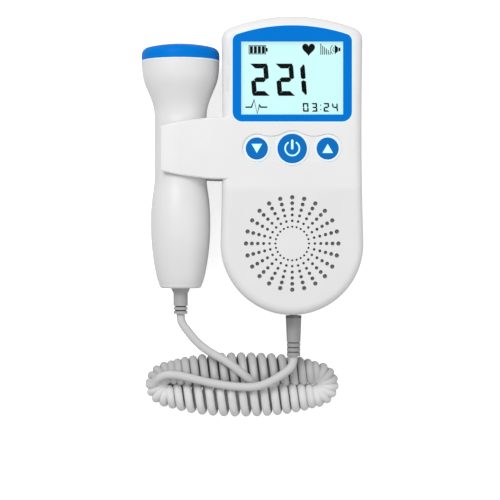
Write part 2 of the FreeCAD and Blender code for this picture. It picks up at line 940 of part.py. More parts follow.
def smooth(points, start_way=None, end_way=None):
    """Smooth curve through points, leaving the first and reaching the last in given directions."""
    curve = Part.BSplineCurve()
    ways = {}
    if start_way is not None:
        ways["InitialTangent"] = start_way
    if end_way is not None:
        ways["FinalTangent"] = end_way
    curve.interpolate(Points=points, **ways)
    return curve.toShape()


def at_radius(radius, height):
    return Vector(radius, 0, height)


def probe_wall_outline():
    """Section of the handle's wall: waisted for the clip, bellied for the hand, flared for the head."""
    hole = relief_r + relief_gap
    inner = spigot_inner_r
    top = probe_long + spigot_tall
    bend = foot_round * (1 - math.sqrt(0.5))
    foot = Part.Arc(
        at_radius(foot_r - foot_round, 0), at_radius(foot_r - bend, bend), at_radius(foot_r, foot_round)
    ).toShape()
    tail = smooth(
        [
            at_radius(foot_r, foot_round),
            at_radius(tail_r, tail_up),
            at_radius(belly_r, belly_up),
            at_radius(shoulder_r, shoulder_up),
            at_radius(neck_r, neck_low_up),
        ],
        Vector(foot_lean, 0, 1),
        Z_AXIS,
    )
    neck = line(at_radius(neck_r, neck_low_up), at_radius(neck_r, neck_top_up))
    flare = smooth(
        [
            at_radius(neck_r, neck_top_up),
            at_radius(throat_r, throat_up),
            at_radius(flare_r, flare_up),
            at_radius(head_base_r, probe_long),
        ],
        Z_AXIS,
        Vector(head_lean, 0, 1),
    )
    head = [
        line(at_radius(head_base_r, probe_long), at_radius(spigot_r, probe_long)),
        line(at_radius(spigot_r, probe_long), at_radius(spigot_r, top)),
        line(at_radius(spigot_r, top), at_radius(inner, top)),
        line(at_radius(inner, top), at_radius(inner, probe_long)),
    ]
    inner_flare = smooth(
        [
            at_radius(inner, probe_long),
            at_radius(flare_r - probe_wall, flare_up),
            at_radius(throat_r - probe_wall, throat_up),
            at_radius(neck_r - probe_wall, neck_top_up),
        ],
        None,
        -Z_AXIS,
    )
    neck_bore_r = neck_r - probe_wall
    inner_neck = line(at_radius(neck_bore_r, neck_top_up), at_radius(neck_bore_r, neck_low_up))
    inner_tail = smooth(
        [
            at_radius(neck_r - probe_wall, neck_low_up),
            at_radius(shoulder_r - probe_wall, shoulder_up),
            at_radius(belly_r - probe_wall, belly_up),
            at_radius(tail_r - probe_wall, tail_up),
            at_radius(foot_r - probe_wall, foot_wall),
        ],
        -Z_AXIS,
        None,
    )
    floor = [
        line(at_radius(foot_r - probe_wall, foot_wall), at_radius(hole, foot_wall)),
        line(at_radius(hole, foot_wall), at_radius(hole, 0)),
        line(at_radius(hole, 0), at_radius(foot_r - foot_round, 0)),
    ]
    return [foot, tail, neck, flare] + head + [inner_flare, inner_neck, inner_tail] + floor


def probe_shell(turn):
    """Half of the handle, spun to one side, with two ribs that grip the circuit board."""
    shell = spun(probe_wall_outline(), turn)
    side = 1 if turn > 0 else -1
    grip = probe_board_thick / 2
    ribs = []
    for height, outside in ((belly_up, belly_r), ((neck_low_up + neck_top_up) / 2, neck_r)):
        start = Vector(0, 0, height - rib_thick / 2)
        disc = Part.makeCylinder(outside - probe_wall / 2, rib_thick, start)
        y_low, y_high = sorted((side * grip, side * 2 * head_r))
        disc = disc.common(block(-head_r, head_r, y_low, y_high, height - rib_thick, height + rib_thick))
        ribs.append(disc)
    return on_probe(shell.fuse(ribs).removeSplitter())


def probe_cap():
    """Cap with a softly domed face over the crystals."""
    rise = cap_tall - cap_side
    corner_x = head_r - cap_corner
    dome_r = (corner_x**2 + rise**2 - cap_corner**2) / (2 * (rise - cap_corner))
    dome = at_radius(0, cap_tall - dome_r)
    corner = at_radius(corner_x, cap_side)
    join = towards(corner, corner + corner - dome, cap_corner)
    apex = at_radius(0, cap_tall)
    inside_r = head_r - cap_wall
    edges = [
        line(at_radius(inside_r, 0), at_radius(head_r, 0)),
        line(at_radius(head_r, 0), at_radius(head_r, cap_side)),
        arc_about(corner, at_radius(head_r, cap_side), join),
        arc_about(dome, join, apex),
        line(apex, at_radius(0, cap_inside_tall)),
        line(at_radius(0, cap_inside_tall), at_radius(inside_r, cap_inside_tall)),
        line(at_radius(inside_r, cap_inside_tall), at_radius(inside_r, 0)),
    ]
    return on_probe(moved(spun(edges), Vector(0, 0, probe_long)))


def transducer_crystals():
    """One middle disc and six round it, bonded to the inside of the cap."""
    places = [Vector(0, 0, 0)]
    for k in range(crystal_ring_count):
        turn = 2 * math.pi * k / crystal_ring_count
        places.append(Vector(crystal_pitch * math.cos(turn), crystal_pitch * math.sin(turn), 0))
    low = Vector(0, 0, probe_long + cap_inside_tall - crystal_thick)
    discs = [Part.makeCylinder(crystal_r, crystal_thick, place + low) for place in places]
    return on_probe(Part.makeCompound(discs))


def crystal_backing():
    low = probe_long + cap_inside_tall - crystal_thick - backing_thick
    return on_probe(Part.makeCylinder(backing_r, backing_thick, Vector(0, 0, low)))


def probe_board():
    half = neck_r - probe_wall - probe_board_gap
    thick = probe_board_thick / 2
    high = neck_top_up - probe_board_below_neck
    return on_probe(block(-half, half, -thick, thick, probe_board_low, high))


def probe_strain_relief():
    """Rubber sleeve held by a flange inside the handle's foot, with a flared top and a ringed end."""
    flange_top = foot_wall + relief_flange_thick
    low = -relief_reach
    plain_end = low + relief_rings * (relief_ring_long + relief_groove)
    outline = [(0, flange_top), (relief_flange_r, flange_top), (relief_flange_r, foot_wall)]
    outline += [(relief_r, foot_wall), (relief_r, 0), (relief_flare_r, 0)]
    outline += [(relief_r, -relief_flare_long), (relief_r, plain_end)]
    for k in range(relief_rings):
        top = plain_end - k * (relief_ring_long + relief_groove)
        outline += ringed(relief_end_r, top, relief_groove, relief_ring_long)
    outline.append((0, low))
    return on_probe(turned_profile(outline))


def ringed(radius, top, groove, ring_long):
    """Corners of one groove with the ring below it."""
    inside = radius - groove
    ring_top = top - groove
    return [(inside, top), (inside, ring_top), (radius, ring_top), (radius, ring_top - ring_long)]


def cord_clamp():
    half = clamp_wide / 2
    thick = clamp_tall / 2
    low = foot_wall + relief_flange_thick
    return on_probe(block(-half, half, -thick, thick, low, low + clamp_long))


# ---- Plug and socket, on one line along Y below the case ----
def on_plug(shape):
    """Lays a shape drawn about Z along the plug's line; height zero is the case's lowest point."""
    laid = shape.copy()
    laid.rotate(Vector(0, 0, 0), X_AXIS, -90)
    laid.translate(Vector(plug_x, case_bottom, plug_z))
    return laid


def probe_socket():
    half = socket_wide / 2
    inner = case_wall + socket_sink
    nose = Part.makeCylinder(socket_nose_r, inner - socket_sink, Vector(0, 0, socket_sink))
    body = block(-half, half, -half, half, inner, inner + socket_long)
    bore = Part.makeCylinder(pin_r + pin_gap, pin_long + cut_over)
    return on_plug(nose.fuse(body).cut(bore))


def plug_pin():
    pin = Part.makeCylinder(pin_r, pin_long + collar_stand_off, Vector(0, 0, -collar_stand_off))
    pin = pin.makeChamfer(pin_chamfer, rim_edges(pin, pin_long))
    collar = Part.makeCylinder(collar_r, collar_long, Vector(0, 0, -collar_stand_off - collar_long))
    return on_plug(pin.fuse(collar).removeSplitter())


def plug_boot():
    """Tapered rubber boot with rings at its cord end."""
    top = boot_top
    outline = [(0, top), (boot_top_r, top), (boot_low_r, top - boot_plain_long)]
    for k in range(boot_rings):
        share = (k + 1) / boot_rings
        radius = boot_low_r + share * (boot_end_r - boot_low_r)
        ring_top = top - boot_plain_long - k * (boot_groove + boot_ring_long)
        outline += ringed(radius, ring_top, boot_groove, boot_ring_long)
    outline.append((0, boot_end))
    return on_plug(turned_profile(outline))


# ---- Cord ----
def cord_path(name, points):
    """Straight runs joined by tangent arcs, each as large as its two runs allow."""
    edges = []
    radii = []
    start = points[0]
    for before, corner, after in zip(points, points[1:], points[2:]):
        back = (before - corner).normalize()
        ahead = (after - corner).normalize()
        half_turn = (math.pi - back.getAngle(ahead)) / 2
        trim = arc_share * min((before - corner).Length, (after - corner).Length)
        radius = trim / math.tan(half_turn)
        radii.append(round(radius, 1))
        deep = radius / math.cos(half_turn) - radius
        arc_start = corner + back * trim
        arc_end = corner + ahead * trim
        middle = corner + (back + ahead).normalize() * deep
        edges.append(line(start, arc_start))
        edges.append(Part.Arc(arc_start, middle, arc_end).toShape())
        start = arc_end
    edges.append(line(start, points[-1]))
    print(name, "bend radii", radii)
    return Part.Wire(edges)


def cord_tube(name, points):
    path = cord_path(name, points)
    ring = Part.Wire([Part.Circle(points[0], points[1] - points[0], cord_r).toShape()])
    solid = path.makePipeShell([ring], True, True)
    ideal = math.pi * cord_r**2 * path.Length
    print(name, "length", round(path.Length, 1), "volume share", round(solid.Volume / ideal, 4))
    return solid


def cord_lead(name, start, first_run, corners):
    """Lead that leaves its start downwards along Y and then follows its corners to the coil."""
    down = start.y - coil_middle.y
    points = [start, start - Vector(0, first_run, 0)]
    for x, share, z in corners:
        points.append(Vector(x, start.y - share * down, z))
    return cord_tube(name, points)


def cord_probe_lead():
    start = Vector(probe_x, probe_foot_y - relief_reach, probe_z)
    return cord_lead("cord_probe_lead", start, probe_lead_first, probe_lead_corners)


def cord_plug_lead():
    start = Vector(plug_x, case_bottom + boot_end, plug_z)
    return cord_lead("cord_plug_lead", start, plug_lead_first, plug_lead_corners)


def coil_ellipse(x, side):
    """Outline of one of the coil's runs, resting on the table, narrower and lower towards the ends."""
    outer = coil_half_wide * math.sqrt(1 - (x / coil_half_long) ** 2)
    half_wide = (outer - coil_half_gap) / 2
    half_tall = half_wide + coil_squash * (coil_half_tall - half_wide)
    ring = Part.Ellipse(Vector(0, 0, 0), half_tall, half_wide).toShape()
    ring.rotate(Vector(0, 0, 0), Y_AXIS, 90)
    return moved(Part.Wire([ring]), Vector(x, side * (outer - half_wide), half_tall))


def cord_coil():
    """Closed oval ring with the curly cord's outer shape: two bowed runs joined by half turns."""
    bend_x = coil_bend_share * coil_half_long
    ahead = [share * coil_half_long for share in coil_section_shares] + [bend_x]
    places = [-x for x in reversed(ahead[1:])] + ahead
    runs = [Part.makeLoft([coil_ellipse(x, side) for x in places], True) for side in (-1, 1)]
    bends = []
    for end in (-1, 1):
        face = Part.Face(coil_ellipse(end * bend_x, -1))
        bends.append(face.revolve(Vector(end * bend_x, 0, 0), Z_AXIS, end * 180))
    return moved(runs[0].fuse([runs[1]] + bends).removeSplitter(), coil_middle)


# ---- Write every sub-part ----
def main():
    os.makedirs("parts", exist_ok=True)
    export("front_casing", front_casing())
    export("rear_casing", rear_casing())
    export("battery_door", battery_door())
    export("screen_bezel", screen_bezel())
    export("screen_lens", screen_lens())
    export("lcd_panel", lcd_panel())
    export("lcd_backlight", lcd_backlight())
    export("main_board", main_board())
    export("board_chips", board_chips())
    export("case_screws", case_screws())
    export("board_screws", board_screws())
    for name, x, radius in button_list():
        export(name + "_button", button_cap(x, radius))
        export(name + "_plunger", switch_plunger(x))
    export("switch_bodies", switch_bodies())
    export("speaker_cloth", speaker_cloth())
    export("speaker_frame", speaker_frame())
    export("speaker_cone", speaker_cone())
    export("speaker_magnet", speaker_magnet())
    export("battery_cell_left", battery_cell(-1))
    export("battery_cell_right", battery_cell(1))
    export("battery_contacts", battery_contacts())
    export("probe_front_shell", probe_shell(-180))
    export("probe_rear_shell", probe_shell(180))
    export("probe_cap", probe_cap())
    export("transducer_crystals", transducer_crystals())
    export("crystal_backing", crystal_backing())
    export("probe_board", probe_board())
    export("probe_strain_relief", probe_strain_relief())
    export("cord_clamp", cord_clamp())
    export("probe_socket", probe_socket())
    export("plug_pin", plug_pin())
    export("plug_boot", plug_boot())
    export("cord_probe_lead", cord_probe_lead())
    export("cord_plug_lead", cord_plug_lead())
    export("cord_coil", cord_coil())


main()
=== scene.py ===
import bpy, math
import numpy as np
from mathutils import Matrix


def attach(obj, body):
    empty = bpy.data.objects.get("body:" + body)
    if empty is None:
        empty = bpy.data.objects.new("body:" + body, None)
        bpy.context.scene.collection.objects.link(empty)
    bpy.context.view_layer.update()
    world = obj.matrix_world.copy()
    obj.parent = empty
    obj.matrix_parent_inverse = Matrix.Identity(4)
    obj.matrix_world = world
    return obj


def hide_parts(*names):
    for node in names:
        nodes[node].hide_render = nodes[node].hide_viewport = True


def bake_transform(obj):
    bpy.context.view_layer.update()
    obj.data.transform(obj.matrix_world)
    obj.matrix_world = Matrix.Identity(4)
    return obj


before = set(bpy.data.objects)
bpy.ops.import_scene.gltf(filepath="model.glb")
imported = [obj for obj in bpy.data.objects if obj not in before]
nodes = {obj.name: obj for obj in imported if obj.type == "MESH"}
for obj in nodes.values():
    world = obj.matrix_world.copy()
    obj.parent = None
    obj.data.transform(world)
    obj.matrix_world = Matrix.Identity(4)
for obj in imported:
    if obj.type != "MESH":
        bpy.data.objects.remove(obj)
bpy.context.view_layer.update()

# Fetal doppler lying on its back on a white table, seen from straight above, with the probe in its
# clip and the curly cord laid below it. Lengths inside the settings are millimetres and angles degrees.

mm = 0.001
white = (1, 1, 1, 1)

stageSettings = {
    "cameraAt": (-0.87, -38.5, 851.0), "lens": 129.6, "sensor": 36.0, "clipNear": 50.0, "clipFar": 20000.0,
    "floorSize": 3000.0, "floorLow": -0.1, "floorShade": 0.70, "floorRoughness": 0.9, "floorSpecular": 0.1,
    "floorLift": 0.76,  # how far the floor is lifted to white where the camera sees it
    "worldLight": 0.46, "lampsAim": (0, -20, 0),
    "lamps": (  # name, place, size, power
        ("keyLamp", (-370, 500, 900), 500, 6.8),
        ("fillLamp", (560, -200, 800), 600, 1.7),
    ),
}


def addToScene(name, data):
    thing = bpy.data.objects.new(name, data)
    bpy.context.scene.collection.objects.link(thing)
    return thing


def combine(tree, operation, first, second=None):
    # Math node on one or two values, each a number or a socket.
    node = tree.nodes.new("ShaderNodeMath")
    node.operation = operation
    for slot, value in enumerate((first, second)):
        if isinstance(value, (int, float)):
            node.inputs[slot].default_value = value
        elif value is not None:
            tree.links.new(value, node.inputs[slot])
    return node.outputs[0]


def mapRange(tree, source, startEnd=(0.0, 1.0), lowHigh=(0.0, 1.0), smooth=False):
    # Maps a source from startEnd to lowHigh, held at both ends.
    ramp = tree.nodes.new("ShaderNodeMapRange")
    if smooth:
        ramp.interpolation_type = "SMOOTHSTEP"
    for key, value in zip(("From Min", "From Max", "To Min", "To Max"), startEnd + lowHigh):
        ramp.inputs[key].default_value = value
    tree.links.new(source, ramp.inputs["Value"])
    return ramp.outputs["Result"]


def buildCamera(s):
    lens = bpy.data.cameras.new("mainCamera")
    lens.lens = s["lens"]
    lens.sensor_width = s["sensor"]
    lens.clip_start = s["clipNear"] * mm
    lens.clip_end = s["clipFar"] * mm
    camera = addToScene("mainCamera", lens)
    camera.location = [v * mm for v in s["cameraAt"]]
    bpy.context.scene.camera = camera


def buildLights(s):
    # White where the camera and reflections see the world, and a plain even light elsewhere.
    world = bpy.data.worlds.new("studio")
    bpy.context.scene.world = world
    world.use_nodes = True
    tree = world.node_tree
    back = tree.nodes["Background"]
    back.inputs["Color"].default_value = white
    path = tree.nodes.new("ShaderNodeLightPath")
    seen = combine(tree, "MAXIMUM", path.outputs["Is Camera Ray"], path.outputs["Is Glossy Ray"])
    strength = mapRange(tree, seen, lowHigh=(s["worldLight"], 1.0))
    tree.links.new(strength, back.inputs["Strength"])
    for name, place, size, power in s["lamps"]:
        lamp = bpy.data.lights.new(name, "AREA")
        lamp.size = size * mm
        lamp.energy = power
        holder = addToScene(name, lamp)
        at = np.array(place) * mm
        aim = np.array(s["lampsAim"]) * mm - at
        turn = math.atan2(math.hypot(aim[0], aim[1]), -aim[2])
        holder.location = at
        holder.rotation_euler = (turn, 0, math.atan2(aim[1], aim[0]) - math.pi / 2)


def buildFloor(s):
    half = s["floorSize"] * mm / 2
    low = s["floorLow"] * mm
    mesh = bpy.data.meshes.new("floor")
    corners = [(x, y, low) for x, y in ((-half, -half), (half, -half), (half, half), (-half, half))]
    mesh.from_pydata(corners, [], [(0, 1, 2, 3)])
    paint = bpy.data.materials.new("floorPaint")
    paint.use_nodes = True
    tree = paint.node_tree
    shader = tree.nodes["Principled BSDF"]
    shader.inputs["Base Color"].default_value = (s["floorShade"],) * 3 + (1,)
    shader.inputs["Roughness"].default_value = s["floorRoughness"]
    shader.inputs["Specular IOR Level"].default_value = s["floorSpecular"]
    shader.inputs["Emission Color"].default_value = white
    path = tree.nodes.new("ShaderNodeLightPath")
    lift = mapRange(tree, path.outputs["Is Camera Ray"], lowHigh=(0.0, s["floorLift"]))
    tree.links.new(lift, shader.inputs["Emission Strength"])
    mesh.materials.append(paint)
    floor = addToScene("floor", mesh)


buildCamera(stageSettings)
buildLights(stageSettings)
buildFloor(stageSettings)
bpy.context.scene.view_settings.view_transform = "Standard"
print("stage ready")

cordSettings = {
    "diameter": 3.85, "length": 1540.0, "stepsPerPoint": 3, "roundness": 3,
    "probeLead": (  # from the strain relief over the rear run and down between the runs
        (-32.975, -68.0, 18.3), (-32.975, -70.6, 18.3), (-31.9, -73.1, 18.2), (-29.3, -76.5, 18.0),
        (-26.2, -80.4, 17.6), (-22.4, -83.8, 17.3), (-17.5, -86.9, 17.1), (-12.2, -89.7, 17.1),
        (-7.1, -93.5, 16.8), (-2.9, -97.2, 15.0), (0.2, -100.2, 11.6), (2.8, -101.6, 9.6),
    ),
    "underRun": (  # hidden fold and the way back along the table to the ring's left end
        (6.0, -101.6, 9.4), (8.2, -101.5, 5.8), (5.8, -101.5, 2.3), (0.5, -101.5, 2.05),
        (-8.0, -101.5, 2.05), (-16.0, -101.5, 2.05), (-24.0, -101.5, 2.05), (-32.0, -101.5, 2.05),
        (-40.0, -101.5, 2.05),
    ),
    "plugLead": (  # from the ring's left end over it to the plug's boot
        (-46.6, -102.0, 9.8), (-44.6, -98.7, 12.2), (-40.4, -96.3, 13.7), (-34.8, -96.5, 14.7),
        (-28.0, -98.0, 14.9), (-20.4, -100.0, 14.6), (-12.6, -101.3, 15.0), (-4.8, -102.1, 15.9),
        (2.2, -102.0, 16.8), (7.9, -99.9, 17.1), (13.0, -97.0, 17.0), (17.0, -94.1, 16.8),
        (19.325, -91.25, 16.5), (19.325, -87.65, 16.5),
    ),
}
ringSettings = {
    "middle": (-4.6, -101.5), "halfLong": 45.5, "halfWide": 15.25, "meshed": 1.3,
    "bendShare": 0.76, "blunt": 2.3, "tallShare": 0.78, "tallExtra": 1.3, "inset": 2.0,
    "pointsPerTurn": 14, "firstAngle": -90.0, "lastAngle": 24.0,
    # distance between turns at shares of the way round, from the left end over the rear run
    "pitches": (
        (0, 2.1), (0.04, 2.4), (0.09, 3.6), (0.14, 4.5), (0.34, 4.8), (0.43, 3.8), (0.46, 2.5), (0.5, 2.1),
        (0.54, 2.5), (0.58, 3.9), (0.66, 4.7), (0.74, 5.2), (0.88, 5.1), (0.93, 4.2), (0.965, 2.6), (1, 2.1),
    ),
}


def ringStations(s, each=400):
    # Middle line, outward direction and half sizes of the ring's section. The outer edge is an oval a
    # little blunter than an ellipse along the two runs, and a half circle round each end. The half width
    # is half of the edge's distance from the long axis, and a little more between the bends, where the
    # runs mesh. The half height is a share of that distance and a little more.
    bendX = s["bendShare"] * s["halfLong"]
    quarter = math.pi / 2
    still, ahead = np.ones(each), np.linspace(-bendX, bendX, 2 * each)
    x = np.concatenate([-bendX * still, ahead, bendX * still, ahead[::-1], -bendX * still])
    turn = np.concatenate([
        np.linspace(2 * quarter, quarter, each), np.full(2 * each, quarter),
        np.linspace(quarter, -quarter, each),
        np.full(2 * each, -quarter), np.linspace(-quarter, -2 * quarter, each),
    ])
    outer = s["halfWide"] * (1 - np.abs(x / s["halfLong"]) ** s["blunt"]) ** (1 / s["blunt"])
    wide = (outer + s["meshed"] * (1 - (x / bendX) ** 4)) / 2
    tall = s["tallShare"] * outer / 2 + s["tallExtra"]
    out = np.column_stack([np.cos(turn), np.sin(turn), 0 * turn])
    line = out * (outer - wide)[:, None] + np.column_stack([x + s["middle"][0], 0 * x + s["middle"][1], tall])
    return line, out, wide, tall


def helixPoints(s):
    # Each point is the middle line plus the half width times the cosine along the outward direction and
    # the half height times the sine upwards, of an angle that grows by a full turn per pitch. Both halves
    # are taken in by the inset, so that the cord's surface stays inside the ring's section. The points
    # are set out a little from that, because the spline runs inside them: beside a point it lies at three
    # quarters of the point and a quarter of its neighbours' mean.
    line, out, wide, tall = ringStations(s)
    way = np.concatenate([[0], np.cumsum(np.linalg.norm(np.diff(line, axis=0), axis=1))])
    marks = np.array(s["pitches"], float)
    pitch = np.interp(way[1:] / way[-1], marks[:, 0], marks[:, 1])
    turns = np.concatenate([[0], np.cumsum(np.diff(way) / pitch)])
    part = (s["lastAngle"] - s["firstAngle"]) / 360
    whole = round(turns[-1] - part) + part
    count = int(round(whole * s["pointsPerTurn"])) + 1
    steps = np.linspace(0, 1, count)
    at = np.interp(steps * turns[-1], turns, way)
    line, out = (np.column_stack([np.interp(at, way, rows[:, k]) for k in range(3)]) for rows in (line, out))
    wide, tall = (np.interp(at, way, row) - s["inset"] for row in (wide, tall))
    angle = math.radians(s["firstAngle"]) + 2 * math.pi * whole * steps
    grow = 1 / (0.75 + 0.25 * math.cos(2 * math.pi / s["pointsPerTurn"]))
    rise = np.column_stack([0 * tall, 0 * tall, tall * np.sin(angle)])
    print("turns", round(whole, 2), "points", count)
    return line + grow * (out * (wide * np.cos(angle))[:, None] + rise)


def buildCord(s, ring):
    # One spline through the leads and the turns: its path first, and then the round cord along it.
    points = np.concatenate([s["probeLead"], s["underRun"], helixPoints(ring), s["plugLead"]]) * mm
    curve = bpy.data.curves.new("cordRoute", "CURVE")
    curve.dimensions = "3D"
    spline = curve.splines.new("NURBS")
    spline.points.add(len(points) - 1)
    spline.points.foreach_set("co", np.column_stack([points, np.ones(len(points))]).ravel())
    spline.order_u = 3
    spline.use_endpoint_u = True
    spline.resolution_u = s["stepsPerPoint"]
    holder = addToScene("cordRoute", curve)
    route = bpy.data.meshes.new_from_object(holder.evaluated_get(bpy.context.evaluated_depsgraph_get()))
    path = np.zeros(len(route.vertices) * 3)
    route.vertices.foreach_get("co", path)
    path = path.reshape(-1, 3)
    curve.bevel_depth = s["diameter"] * mm / 2
    curve.bevel_resolution = s["roundness"]
    curve.use_fill_caps = True
    tube = bpy.data.meshes.new_from_object(holder.evaluated_get(bpy.context.evaluated_depsgraph_get()))
    bpy.data.objects.remove(holder)
    tube.polygons.foreach_set("use_smooth", np.ones(len(tube.polygons), bool))
    cord = addToScene("curlyCord", tube)
    length = float(np.linalg.norm(np.diff(path, axis=0), axis=1).sum())
    print("cord", round(length, 4), "m", len(tube.polygons), "faces")
    return cord, path


curlyCord, cordPath = buildCord(cordSettings, ringSettings)
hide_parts("cord_probe_lead", "cord_plug_lead", "cord_coil")
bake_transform(curlyCord)
print("cord ready")


def shade(tone, tint=(1.0, 1.0, 1.0)):
    # Linear colour of a screen tone from 0 to 255 by the standard screen curve, with a tint.
    value = tone / 255
    linear = ((value + 0.055) / 1.055) ** 2.4 if value > 0.04 else value / 12.92
    return tuple(linear * t for t in tint) + (1.0,)


def screenColour(r, g, b):
    # Linear colour of red, green and blue from 0 to 255.
    return tuple(shade(v)[0] for v in (r, g, b)) + (1.0,)


def startFinish(name, colour, roughness, specular):
    finish = bpy.data.materials.new(name)
    finish.use_nodes = True
    tree = finish.node_tree
    shader = tree.nodes["Principled BSDF"]
    shader.inputs["Base Color"].default_value = colour
    shader.inputs["Roughness"].default_value = roughness
    shader.inputs["Specular IOR Level"].default_value = specular
    return finish, tree, shader


def objectPlace(tree):
    # Object coordinates, made once for each material.
    for node in tree.nodes:
        if node.type == "TEX_COORD":
            return node.outputs["Object"]
    return tree.nodes.new("ShaderNodeTexCoord").outputs["Object"]


def cloudTexture(tree, size, detail=3.0, place=None):
    # Noise with features of a size in millimetres.
    noise = tree.nodes.new("ShaderNodeTexNoise")
    noise.inputs["Scale"].default_value = 1000 / size
    noise.inputs["Detail"].default_value = detail
    tree.links.new(place or objectPlace(tree), noise.inputs["Vector"])
    return noise.outputs["Fac"]


def spread(tree, source, low, high):
    # Widens the middle part of a noise, where nearly all of it lies, to low..high.
    return mapRange(tree, source, (0.3, 0.7), (low, high))


def blendColours(tree, share, one, two):
    # Mixes two colours by a share; either may be a colour or a socket.
    mix = tree.nodes.new("ShaderNodeMix")
    mix.data_type = "RGBA"
    tree.links.new(share, mix.inputs["Factor"])
    for key, value in ((6, one), (7, two)):
        if isinstance(value, tuple):
            mix.inputs[key].default_value = value
        else:
            tree.links.new(value, mix.inputs[key])
    return mix.outputs[2]


def addBump(tree, shader, height, depth):
    # Bump of a depth in millimetres.
    bump = tree.nodes.new("ShaderNodeBump")
    bump.inputs["Distance"].default_value = depth * mm
    bump.inputs["Strength"].default_value = 1.0
    tree.links.new(height, bump.inputs["Height"])
    tree.links.new(bump.outputs["Normal"], shader.inputs["Normal"])


def alongAxis(tree, axis):
    split = tree.nodes.new("ShaderNodeSeparateXYZ")
    tree.links.new(objectPlace(tree), split.inputs[0])
    return split.outputs[axis]


def axisShare(tree, axis, start, end):
    # 0 to 1 between two places along an axis, in millimetres.
    return mapRange(tree, alongAxis(tree, axis), (start * mm, end * mm), smooth=True)


def mouldedPlastic(name, colour, other, roughness, grain=0.9, depth=0.012, specular=0.35):
    # Moulded plastic: two near colours in soft clouds, fine spark-eroded grain, uneven gloss.
    s = {"cloud": 26.0, "detail": 2.0, "smoother": 0.05, "rougher": 0.06}  # sizes in millimetres
    finish, tree, shader = startFinish(name, colour, roughness, specular)
    clouds = spread(tree, cloudTexture(tree, s["cloud"], s["detail"]), 0, 1)
    tree.links.new(blendColours(tree, clouds, colour, other), shader.inputs["Base Color"])
    fine = cloudTexture(tree, grain, s["detail"])
    gloss = spread(tree, fine, roughness - s["smoother"], roughness + s["rougher"])
    tree.links.new(gloss, shader.inputs["Roughness"])
    addBump(tree, shader, fine, depth)
    return finish


def caseFinish():
    # White shell plastic with a fine even grain, painted a shade deeper below the buttons: painted shade for
    # light that falls from above.
    s = {"upper": shade(231), "lower": shade(223), "clouded": shade(227), "shadeBandLow": -13.0, "shadeBandHigh": -8.5,
         "roughness": 0.38, "smoothest": 0.34, "roughest": 0.44, "specular": 0.35,
         "cloud": 30.0, "grain": 0.8, "detail": 2.0, "depth": 0.01}
    finish, tree, shader = startFinish("shellWhite", s["upper"], s["roughness"], s["specular"])
    band = axisShare(tree, 1, s["shadeBandLow"], s["shadeBandHigh"])
    clouds = spread(tree, cloudTexture(tree, s["cloud"], s["detail"]), 0, 1)
    # the part below the band takes the deeper tone: painted shade
    toned = blendColours(tree, band, s["lower"], s["upper"])
    tree.links.new(blendColours(tree, clouds, toned, s["clouded"]), shader.inputs["Base Color"])
    fine = cloudTexture(tree, s["grain"], s["detail"])
    tree.links.new(spread(tree, fine, s["smoothest"], s["roughest"]), shader.inputs["Roughness"])
    addBump(tree, shader, fine, s["depth"])
    return finish


def groovedRubber(name, colour, other, grooves):
    # Soft rubber, dull and finely cloudy, with painted shade in its grooves: dark bands across it at even
    # steps down the Y axis, from the first groove's upper edge.
    s = {"roughness": 0.62, "specular": 0.3, "cloud": 3.0, "cloudDetail": 4.0, "skin": 0.35, "depth": 0.02,
         "edge": 0.02}
    finish, tree, shader = startFinish(name, colour, s["roughness"], s["specular"])
    clouds = spread(tree, cloudTexture(tree, s["cloud"], s["cloudDetail"]), 0, 1)
    skin = blendColours(tree, clouds, colour, other)
    addBump(tree, shader, cloudTexture(tree, s["skin"]), s["depth"])
    down = combine(tree, "SUBTRACT", grooves["first"] * mm, alongAxis(tree, 1))
    step = combine(tree, "FRACT", combine(tree, "DIVIDE", down, grooves["pitch"] * mm))
    grooveShadeMask = combine(tree, "LESS_THAN", step, grooves["groove"] / grooves["pitch"])
    below = axisShare(tree, 1, grooves["first"] + s["edge"], grooves["first"] - s["edge"])
    # dark bands in the grooves: painted shade
    dark = combine(tree, "MULTIPLY", grooveShadeMask, below)
    tree.links.new(blendColours(tree, dark, skin, shade(grooves["dark"])), shader.inputs["Base Color"])
    return finish


def brushedMetal(name, colour, roughness, stretch):
    # Turned or rolled metal with fine lines along one axis.
    s = {"specular": 0.5, "line": 0.25, "smoother": 0.1, "rougher": 0.12, "depth": 0.006}
    finish, tree, shader = startFinish(name, colour, roughness, s["specular"])
    shader.inputs["Metallic"].default_value = 1.0
    place = tree.nodes.new("ShaderNodeMapping")
    place.inputs["Scale"].default_value = stretch
    tree.links.new(objectPlace(tree), place.inputs["Vector"])
    lines = cloudTexture(tree, s["line"], place=place.outputs["Vector"])
    gloss = spread(tree, lines, roughness - s["smoother"], roughness + s["rougher"])
    tree.links.new(gloss, shader.inputs["Roughness"])
    addBump(tree, shader, lines, s["depth"])
    return finish


def boardFinish():
    # Green solder mask with copper tracks as a fine blocky pattern.
    s = {"mask": screenColour(22, 92, 58), "track": screenColour(36, 122, 74), "roughness": 0.35,
         "specular": 0.5, "blocksPerMetre": 420, "trackEdge": (0.30, 0.36), "depth": 0.03}
    finish, tree, shader = startFinish("solderMask", s["mask"], s["roughness"], s["specular"])
    cells = tree.nodes.new("ShaderNodeTexVoronoi")
    cells.distance = "MANHATTAN"
    cells.inputs["Scale"].default_value = s["blocksPerMetre"]
    tree.links.new(objectPlace(tree), cells.inputs["Vector"])
    tracks = mapRange(tree, cells.outputs["Distance"], s["trackEdge"])
    tree.links.new(blendColours(tree, tracks, s["mask"], s["track"]), shader.inputs["Base Color"])
    addBump(tree, shader, tracks, s["depth"])
    return finish


